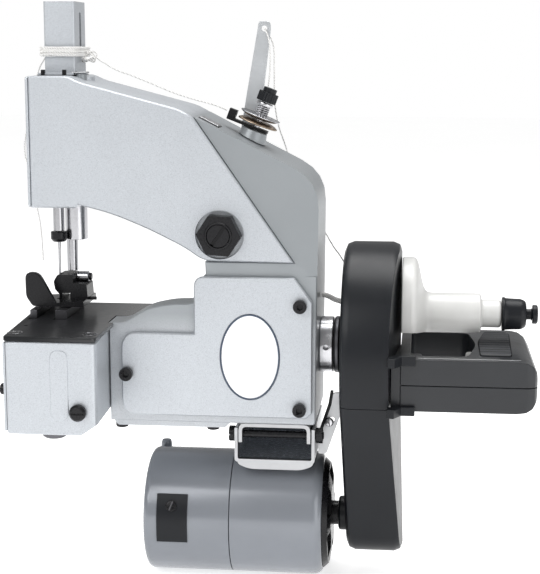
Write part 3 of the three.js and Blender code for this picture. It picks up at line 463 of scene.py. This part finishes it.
def plate(points, low, high, plane="xz"):
    """A flat outline in the xz or xy plane, given thickness from low to high."""
    bm = bmesh.new()
    rings = []
    for w in (low, high):
        rings.append([
            bm.verts.new(at(*((u, w, v) if plane == "xz" else (u, v, w)))) for u, v in points
        ])
    ring_faces(bm, rings)
    return bm


def brick(x0, x1, y0, y1, z0, z1):
    return plate([(x0, z0), (x1, z0), (x1, z1), (x0, z1)], y0, y1)


def oval(u, v, a, b, count):
    turns = [2 * pi * i / count for i in range(count)]
    return [(u + a * cos(t), v + b * sin(t)) for t in turns]


def smooth_line(points, cyclic=False, steps=5):
    """Points along a Catmull-Rom curve through the given ones."""
    points = [Vector(point) for point in points]
    count = len(points)
    line = []
    for i in range(count if cyclic else count - 1):
        near = [i + k for k in (-1, 0, 1, 2)]
        if cyclic:
            p = [points[j % count] for j in near]
        else:
            p = [points[min(max(j, 0), count - 1)] for j in near]
        for s in range(steps):
            t = s / steps
            line.append(0.5 * (
                2 * p[1] + (p[2] - p[0]) * t
                + (2 * p[0] - 5 * p[1] + 4 * p[2] - p[3]) * t * t
                + (3 * p[1] - p[0] - 3 * p[2] + p[3]) * t ** 3
            ))
    if not cyclic:
        line.append(points[-1])
    return line


def tubing(name, points, radius, finish, stands_for=(), cyclic=False):
    """A round strand on the frame, along a smooth curve through the points."""
    data = bpy.data.curves.new(name, "CURVE")
    data.dimensions = "3D"
    data.bevel_depth = radius * MM
    data.bevel_resolution = 3
    data.resolution_u = 6
    data.use_fill_caps = True
    spline = data.splines.new("POLY")
    line = smooth_line(points, cyclic)
    spline.points.add(len(line) - 1)
    for point, place in zip(spline.points, line):
        point.co = (*at(*place), 1.0)
    spline.use_cyclic_u = cyclic
    obj = placed(name, data)
    dress(obj, finish, FRAME_BODY, stands_for)
    return obj


# ---------------------------------------------------------------- sewing thread and wiring

THREAD_RADIUS = 0.4
STRANDS = {
    # CAD node: route of its strand, from where it leaves the object
    "thread_supply": [
        (-4.4, 46.3, 262.6), (-3, 46.5, 275), (-1.4, 46.6, 290), (-1.5, 46.6, 302),
        (-2.6, 46.6, 309), (-4.5, 47, 313.1), (-4.8, 48.8, 313.4), (-4.8, 50.6, 313.2),
        (-3.2, 51.4, 311), (0.2, 51.6, 303), (0.6, 51.4, 288), (1, 51.6, 270), (3, 55, 257),
        (5.4, 61.5, 248), (8.4, 66.6, 237), (15, 67.4, 220), (26, 68, 200), (34, 68.6, 186),
        (38.6, 68.8, 179.6), (41.8, 68.4, 174), (43.1, 68, 170),
    ],
    "thread_feed": [
        (-24.6, 34, 267.4), (-28, 33.9, 268.9), (-33, 33.8, 270.7), (-44, 33.5, 273.6),
        (-54.4, 33, 276.9), (-66, 32.6, 281.6), (-78, 32.4, 286.4), (-88, 32.6, 290),
        (-96, 33, 294.5), (-101, 33.6, 297.8), (-105.3, 34.2, 299.8),
    ],
    "thread_tail": [
        (-128, 30, 297.2), (-131, 28, 292), (-132.8, 25, 284), (-134.2, 21.6, 272),
        (-136.4, 20, 261), (-138.8, 20, 250.6), (-139, 20, 242), (-137, 21, 233.5),
        (-135.6, 24, 222), (-134.8, 27, 211), (-133.4, 27.6, 202), (-132.4, 27.4, 190),
        (-131.8, 26, 180.4),
    ],
}
LEAD_ROUTE = [(30.3, 30, 163), (34, 30, 162), (38, 30, 160), (42.9, 30, 158.6)]


def wound_thread():
    """The turns of thread round the needle guard: a slightly uneven rounded square."""
    x0, x1, y0, y1 = -127.6, -107.8, 20.1, 47.9
    middle_x, middle_y = (x0 + x1) / 2, (y0 + y1) / 2
    first_z, pitch, turns = 298.0, 0.72, 7
    crown = 0.5  # how far the middle of a side stands out past its corners
    points = []
    for turn in range(turns):
        push = 0.35 * sin(2.4 * turn) + 0.35
        for x, y in (
            (x0 - push, y0 - push), (middle_x, y0 - crown - push), (x1 + push, y0 - push),
            (x1 + crown + push, middle_y), (x1 + push, y1 + push),
            (middle_x, y1 + crown + push), (x0 - push, y1 + push),
            (x0 - crown - push, middle_y),
        ):
            ripple = 0.25 * noise.noise((x * 0.3, y * 0.3, turn))
            points.append((x, y, first_z + pitch * turn + ripple))
    return points


def knotted_thread(count=44):
    points = []
    for i in range(count):
        t = 2 * pi * i / count
        points.append((
            -103.6 + 3.6 * sin(3 * t) * (1 + 0.2 * cos(5 * t)),
            33 + 2.4 * cos(2 * t),
            296.8 + 3.4 * cos(3 * t + 0.6) * cos(t),
        ))
    return points


def sewing_thread():
    for node, route in STRANDS.items():
        strand = tubing(f"{node}_strand", route, THREAD_RADIUS, "thread", (node,))
    tubing("thread_wrap_turns", wound_thread(), 0.62, "thread", ("thread_wrap",))
    tubing("thread_knot", knotted_thread(), 0.5, "thread", cyclic=True)
    tubing("wiring_lead_sleeve", LEAD_ROUTE, 1.5, "thread", ("wiring_lead",))


# ---------------------------------------------------------------- castings, covers, sheet metal

REFINED = [
    # node, finish, edge radius in mm
    ("arm_casting", "silver_paint", 1.3),
    ("body_casting", "smooth_paint", 1.2),
    ("arm_end_plate", "silver_paint", 0.3),
    ("front_cover", "silver_paint", 0.6),
    ("cover_screw_left", "black_oxide", 0.35),
    ("cover_screw_upper", "black_oxide", 0.35),
    ("cover_screw_lower", "black_oxide", 0.35),
    ("looper_box", "silver_paint", 0.7),
    ("looper_box_screw", "black_oxide", 0.35),
    ("looper_box_plug", "dark_steel", 0.3),
    ("looper_end_plate", "silver_paint", 0.3),
    ("needle_plate", "plate_black", 0),
    ("feed_dog", "dark_steel", 0.2),
    ("looper", "steel", 0.4),
    ("presser_foot", "black_oxide", 0.6),
    ("needle_guard", "silver_paint", 0.5),
    ("pivot_nut", "black_oxide", 0.5),
    ("pivot_shaft", "black_oxide", 0.4),
    ("needle_lever", "steel", 0.8),
    ("connecting_rod", "steel", 0.5),
    ("main_shaft", "turned_steel", 0.4),
    ("tension_boss", "smooth_paint", 0.5),
    ("tension_post", "steel", 0.2),
    ("thread_guide_plate", "black_oxide", 0.25),
    ("tension_knob", "black_plastic", 0.15),
    ("thread_arm", "bright_sheet", 0.2),
    ("drive_pulley", "dark_steel", 0.4),
    ("drive_belt", "black_rubber", 0.3),
    ("belt_cover_upper", "black_plastic", 1.6),
    ("belt_cover_lower", "black_plastic", 1.6),
    ("handle_upper", "handle_plastic", 1.6),
    ("handle_lower", "handle_plastic", 1.6),
    ("grip_insert", "grip_rubber", 0.2),
    ("trigger", "white_plastic", 0.5),
    ("motor_end_cap", "black_oxide", 0.5),
    ("motor_pulley", "black_plastic", 0.4),
    ("motor_rotor", "dark_steel", 0.5),
    ("brush_cover", "black_plastic", 0.3),
    ("bracket_upper", "bracket_steel", 0.4),
    ("bracket_lower", "bracket_steel", 0.4),
    ("bracket_bolt", "black_oxide", 0.3),
    ("motor_strut", "bracket_steel", 0.3),
    ("presser_bushing", "turned_steel", 0.3),
]


# ---------------------------------------------------------------- turned parts made smoother


def motor_shells():
    r = MOTOR_RADIUS
    centre = (0, AXIS_Y, MOTOR_Z)
    front = [
        (0, -70.2), (r - 4.2, -70.2), (r - 2.4, -69.9), (r - 1.1, -69.1), (r - 0.35, -68),
        (r, -66.4), (r, -20.4), (r - 0.4, -20.15), (r - 3, -20.15), (r - 3, -66.8), (0, -66.8),
    ]
    piece("motor_front_finish", lathe(front, centre, ALONG_X, 96),
          "motor_paint", FRAME_BODY, 0.2, 2, ("motor_front_shell",))
    rear = [
        (r - 3, -19.85), (r - 0.4, -19.85), (r, -19.6), (r, 27.2), (r - 0.3, 29.2),
        (r - 1.1, 30.9), (r - 2.3, 32.2), (r - 3.4, 32.7), (r - 5, 32.7), (r - 5, 22),
        (r - 3, 20),
    ]
    piece("motor_rear_finish", hollow_lathe(rear, centre, ALONG_X, 96),
          "motor_paint", FRAME_BODY, 0.2, 2, ("motor_rear_shell",))


def needle_and_presser_bars():
    on_needle = (NEEDLE_X, AXIS_Y, 0)
    bar = [(0, 197), (2.8, 197), (3.2, 197.4), (3.2, 263.4), (2.8, 264), (0, 264)]
    piece("needle_bar_finish", lathe(bar, on_needle, ALONG_Z, 40),
          "steel", "needle_group", 0, stands_for=("needle_bar",))
    clamp = [(0.95, 190.8), (3.6, 190.8), (4.8, 192.4), (4.8, 196.3), (4.5, 196.7), (0.95, 196.7)]
    piece("needle_clamp_finish", hollow_lathe(clamp, on_needle, ALONG_Z, 40),
          "black_oxide", "needle_group", 0.2, stands_for=("needle_clamp",))
    needle = [
        (0, 158), (0.35, 160), (0.62, 163), (0.7, 168), (0.7, 186), (0.9, 188.5), (0.9, 196),
        (0, 196),
    ]
    piece("needle_finish", lathe(needle, on_needle, ALONG_Z, 20),
          "steel", "needle_group", 0, stands_for=("needle",))
    presser = [(0, 172.6), (3, 172.6), (3.25, 172.9), (3.25, 303.7), (2.9, 304), (0, 304)]
    piece("presser_bar_finish", lathe(presser, (*PRESSER, 0), ALONG_Z, 40),
          "steel", "presser", 0, stands_for=("presser_bar",))


def spool_parts():
    """The spool's cap and plunger, and its white holder, cut flat underneath over the handle."""
    centre = (0, AXIS_Y, SPOOL_Z)
    cap = [
        (0, 132.8), (9.2, 132.8), (9.6, 133.2), (9.6, 134.1), (9.1, 134.9), (8.9, 137),
        (8.7, 143), (8.2, 144.6), (7.4, 145.9), (6.4, 146.4), (0, 146.4),
    ]
    piece("spool_cap_finish", lathe(cap, centre, ALONG_X, 64),
          "black_plastic", FRAME_BODY, 0.15, 2, ("spool_cap",))
    plunger = [
        (0, 112), (3, 112), (3, 149.2), (3.6, 149.8), (5.1, 150), (5.4, 150.4), (5.4, 152.2),
        (5.1, 152.7), (4.4, 153), (0, 153),
    ]
    piece("spool_plunger_finish", lathe(plunger, centre, ALONG_X, 40),
          "black_plastic", "plunger", 0.1, 2, ("spool_plunger",))

    x = 76.0
    holder = [
        (0, x + 0.3), (31, x + 0.3), (31.6, x + 0.8), (31.8, x + 5.4), (31.6, x + 6.8),
        (30.8, x + 8), (29.2, x + 9), (25, x + 10.1), (19, x + 11.3), (15, x + 12.4),
        (12.8, x + 13.6), (11.8, x + 15), (11.5, x + 17), (11.5, 119.4), (11.2, 120.3),
        (10.4, 120.9), (8.2, 121.3), (7.9, 121.8), (7.9, 131.2), (7.4, 132.1), (6.8, 132.4),
        (0, 132.4),
    ]
    bm = lathe(holder, centre, ALONG_X, 72)
    for slope in (0.0, 0.165):
        cut = bmesh.ops.bisect_plane(
            bm, geom=bm.verts[:] + bm.edges[:] + bm.faces[:], plane_co=at(0, AXIS_Y, 141.5),
            plane_no=(0, -slope, -1), clear_outer=True,
        )
        rim = [e for e in cut["geom_cut"] if isinstance(e, bmesh.types.BMEdge)]
        bmesh.ops.holes_fill(bm, edges=rim)
    piece("spool_holder_finish", bm, "white_plastic", FRAME_BODY, 0.3, 2, ("spool_holder",))


def tension_disc(which, height, sign, finish):
    """A dished disc on the tension post. The sign says which way its hollow side faces."""
    profile = [
        (2.3, 0), (7.6, 0), (9.2, -0.25), (10.6, -0.75), (11.5, -1.2), (11.7, -0.9),
        (11.5, -0.5), (10.2, 0.25), (8.4, 0.8), (2.3, 0.9),
    ]
    profile = [(radius, height + sign * rise) for radius, rise in profile]
    bm = hollow_lathe(profile, TENSION_FOOT, ALONG_TENSION_POST, 64)
    node = f"tension_disc_{which}"
    piece(f"{node}_finish", bm, finish, FRAME_BODY, 0, stands_for=(node,))


def tension_parts():
    tension_disc("lower", 14.8, 1, "brass")
    tension_disc("upper", 17.7, -1, "turned_steel")

    radius, start, rise = 3.25, 19.3, 4.6
    per_turn, turns = 24, 4
    count = per_turn * turns
    coil = []
    for i in range(count + 1):
        a = 2 * pi * i / per_turn
        spot = Vector((radius * cos(a), radius * sin(a), start + rise * i / count))
        coil.append(TENSION_FOOT + ALONG_TENSION_POST @ spot)
    tubing("tension_spring_finish", coil, 0.5, "steel", ("tension_spring",))
    rim = [(4.45, 24.7), (4.7, 24.9), (4.7, 26.1), (4.45, 26.3)]
    piece("tension_washer_rim", hollow_lathe(rim, TENSION_FOOT, ALONG_TENSION_POST, 40),
          "turned_steel", FRAME_BODY, 0)


# ---------------------------------------------------------------- small fittings


def slotted_head(name, centre, radius, height, outward, slot_angle, finish="black_oxide"):
    """A round screw head standing out from a face, with a straight slot."""
    out = Vector(outward).normalized()
    side = out.orthogonal().normalized()
    other = out.cross(side)
    bm = bmesh.new()
    sides = 32
    rings = []
    for rad, rise in (
        (radius, 0), (radius, height * 0.55), (radius * 0.92, height * 0.85),
        (radius * 0.7, height), (AXIS_RADIUS, height),
    ):
        rings.append([
            bm.verts.new(at(*(
                Vector(centre) + out * rise + side * rad * cos(2 * pi * i / sides)
                + other * rad * sin(2 * pi * i / sides)
            )))
            for i in range(sides)
        ])
    ring_faces(bm, rings)
    piece(name, bm, finish, FRAME_BODY, 0.12, 2)

    along = (side * cos(slot_angle) + other * sin(slot_angle)) * radius * 0.86
    across = out.cross(along).normalized() * radius * 0.12
    slot = bmesh.new()
    rows = []
    for level in (out * (height * 0.9), out * (height * 1.03)):
        rows.append([
            slot.verts.new(at(*(Vector(centre) + level + along * a + across * c)))
            for a, c in ((-1, -1), (1, -1), (1, 1), (-1, 1))
        ])
    ring_faces(slot, rows)
    piece(f"{name}_slot", slot, "dark_steel", FRAME_BODY, 0)


def badge():
    """A blank oval plate on the front cover, with a coloured edge."""
    y = -4.0
    u, v = -7.2, 132.4
    piece("badge_plate", plate(oval(u, v, 16.7, 24.3, 72), y - 0.2, y + 0.38),
          "badge_white", FRAME_BODY, 0.12, 2)
    edge = [(x, y - 0.1, z) for x, z in oval(u, v, 16.3, 23.9, 60)]
    tubing("badge_ring", edge, 0.5, "badge_ring", cyclic=True)


def screws():
    for index, x in enumerate((-82.4, -29.6)):
        slotted_head(f"base_screw_{index + 1}", (x, 7, 90.3), 3.7, 2.6, (0, 0, -1), 0.6)
    slotted_head("end_plate_screw", (-136.9, -37, 119), 3.2, 3.0, (-1, 0, 0), 0.5)
    seat = [(3.5, 149.7), (4.3, 149.82), (4.3, 149.95), (3.5, 149.9)]
    for side, x, turn in (("left", -131.8, 0.7), ("right", -90.4, 2.1)):
        slotted_head(f"plate_screw_{side}", (x, -34, 148.9), 3.4, 1.1, (0, 0, 1), turn)
        piece(f"plate_screw_seat_{side}", hollow_lathe(seat, (x, -34, 0), ALONG_Z, 40),
              "steel", FRAME_BODY, 0)
    slotted_head("brush_screw", (-53.2, -0.9, 43.6), 3.1, 0.9, (0, -0.944, 0.33), 0.4)
    slotted_head("strut_screw", (35.4, 25.8, 88.7), 2.6, 1.6, (0, -1, 0), 0.9, "turned_steel")


def guard_fittings():
    post = [(0, 282), (3.1, 282), (3.1, 287.6), (2.8, 288), (0, 288)]
    piece("guard_post", lathe(post, (-105.2, 20, 0), ALONG_Z, 32),
          "smooth_paint", FRAME_BODY, 0.1, 2)
    piece("guard_bracket", brick(-110.5, -101.4, 16.4, 23.6, 288.1, 289.1),
          "bracket_steel", FRAME_BODY, 0.4)
    piece("guard_gasket", brick(-129.4, -108.2, 15.4, 50.4, 287.03, 287.28),
          "black_oxide", FRAME_BODY, 0)
    for index, x in enumerate((-126.2, -114)):
        piece(f"guard_tab_{index + 1}", brick(x - 1.1, x + 1.1, 15.2, 17, 287.1, 290.2),
              "black_oxide", FRAME_BODY, 0.2)


def slope_plate(start, end, y0, y1, low, high):
    """A thin plate lying on the body's sloping top, measured along it from the joint line."""
    foot = Vector((-38.5, 265.3))
    along = Vector((0.890, -0.455))
    up = Vector((0.455, 0.890))
    corners = ((start, low), (end, low), (end, high), (start, high))
    return plate([tuple(foot + along * a + up * h) for a, h in corners], y0, y1)


def oil_cover():
    piece("oil_cover_rim", slope_plate(2.0, 14.4, 7.6, 20.4, 0.02, 0.3),
          "black_oxide", FRAME_BODY, 0)
    piece("oil_cover", slope_plate(2.7, 13.7, 8.3, 19.7, 0.05, 0.9),
          "turned_steel", FRAME_BODY, 0.3)


def handle_fittings():
    ear = [
        (69.6, -27.6), (73.4, -28.8), (77.4, -21.4), (84.6, -21.4), (84.6, -17.6), (74, -17.6),
        (69.6, -23),
    ]
    for level, z0, z1 in (("upper", 133.2, 138.6), ("lower", 105.6, 110.6)):
        piece(f"handle_ear_{level}", plate(ear, z0, z1, "xy"), "black_plastic", FRAME_BODY, 0.5)
    piece("handle_top_strip", brick(86, 141, -15.2, -13.6, 136.1, 136.5),
          "bracket_steel", FRAME_BODY, 0.1)
    root = [(71.3, -17.4), (77.4, -17.4), (77.4, 30), (76.1, 30)]
    piece("handle_root", plate(root, 108.8, 134.8, "xy"), "handle_plastic", FRAME_BODY, 0.4)
    piece("cover_hinge_block", brick(77, 88, -6.5, 2, 116, 135.6),
          "black_plastic", FRAME_BODY, 1.0)


def neck_and_tray():
    """The web that closes the neck's left side, and dark sheets inside the motor bracket that
    paint its shade.
    """
    piece("neck_web", brick(-33.9, -32.6, 0, 58.8, 160.9, 176.9), "smooth_paint", FRAME_BODY, 0.3)
    # painted shade: a dark sheet lines the bracket's inside and a dark plate closes its back
    shade_sheet_outline = [
        (-14.9, 89.6), (-14.9, 72.1), (26.9, 72.1), (26.9, 89.6), (26.5, 89.6), (26.5, 72.5),
        (-14.5, 72.5), (-14.5, 89.6),
    ]
    piece("tray_shade_sheet", plate(shade_sheet_outline, 5, 57.2), "tray_dark", FRAME_BODY, 0)
    piece("tray_back_painted_shade", brick(-14.4, 26.4, 57.0, 57.9, 72.6, 90.6), "tray_dark", FRAME_BODY, 0)


def motor_fittings():
    edge = [(28.9, 81.5), (34.8, 99.6), (36.1, 107.6), (37.9, 107.6), (36.6, 99), (30.7, 81)]
    piece("strut_edge", plate(edge, 25.2, 26), "black_plastic", FRAME_BODY, 0.2)
    gland = [(0, 60), (3.4, 60), (3.4, 66), (2.6, 68), (0, 68.6)]
    piece("motor_gland", lathe(gland, (-65, 52, 0), ALONG_Z, 32), "motor_paint", FRAME_BODY, 0.2)


def foot_pin():
    pin = [(0, -115.2), (3, -115.2), (3.1, -114.9), (3.1, -108.8), (2.7, -108.4), (0, -108.4)]
    piece("foot_pin", lathe(pin, FOOT_PIN, ALONG_X, 32), "steel", "presser", 0.1, 2)
    end = [(0, -108.4), (2.2, -108.4), (2.2, -107.2), (1.9, -106.8), (0, -106.8)]
    piece("foot_pin_end", lathe(end, FOOT_PIN, ALONG_X, 32), "black_oxide", "presser", 0.1, 2)


# ---------------------------------------------------------------- floor and light


def floor():
    half, below = 6.0, -0.0004
    corners = [(-half, -half), (half, -half), (half, half), (-half, half)]
    bm = bmesh.new()
    bm.faces.new([bm.verts.new((x, y, below)) for x, y in corners])
    mesh = bpy.data.meshes.new("floor")
    bm.to_mesh(mesh)
    bm.free()
    obj = placed("floor", mesh)
    n = Nodes("floor")
    n.feed("Base Color", n.clouded(WHITE, n.noise(3.0), 0.9, 0.93))
    n.set(Roughness=0.8, Emission_Color=(*WHITE, 1.0), Emission_Strength=0.62)
    mesh.materials.append(n.material)


def studio():
    """A soft even light all round, and a white backdrop that only the camera sees."""
    world = bpy.data.worlds.new("studio")
    SCENE.world = world
    world.use_nodes = True
    tree = world.node_tree
    lighting = tree.nodes["Background"]
    lighting.inputs["Color"].default_value = (*WHITE, 1.0)
    lighting.inputs["Strength"].default_value = 0.4
    backdrop = tree.nodes.new("ShaderNodeBackground")
    backdrop.inputs["Color"].default_value = (*WHITE, 1.0)
    path = tree.nodes.new("ShaderNodeLightPath")
    mix = tree.nodes.new("ShaderNodeMixShader")
    tree.links.new(path.outputs["Is Camera Ray"], mix.inputs["Fac"])
    tree.links.new(lighting.outputs["Background"], mix.inputs[1])
    tree.links.new(backdrop.outputs["Background"], mix.inputs[2])
    tree.links.new(mix.outputs["Shader"], tree.nodes["World Output"].inputs["Surface"])
    SCENE.view_settings.view_transform = "Standard"
    SCENE.view_settings.look = "None"


def area_light(name, spot, aim, size, power):
    data = bpy.data.lights.new(name, "AREA")
    data.shape = "RECTANGLE"
    data.size, data.size_y = size
    data.energy = power
    light = placed(name, data)
    light.location = spot
    light.rotation_euler = (Vector(aim) - Vector(spot)).to_track_quat("-Z", "Y").to_euler()


add_camera()
sewing_thread()
for node, finish, round_mm in REFINED:
    refine(node, finish, round_mm)
motor_shells()
needle_and_presser_bars()
spool_parts()
tension_parts()
badge()
screws()
guard_fittings()
oil_cover()
handle_fittings()
neck_and_tray()
motor_fittings()
foot_pin()
floor()
studio()
area_light("key", (-0.7, -1.1, 1.1), (0, 0, 0.16), (0.9, 0.9), 10.5)
area_light("fill", (0.95, -0.9, 0.45), (0, 0, 0.15), (0.8, 1.0), 4.2)
area_light("top", (0.1, 0.25, 1.3), (0, 0, 0.2), (1.0, 0.8), 13.5)
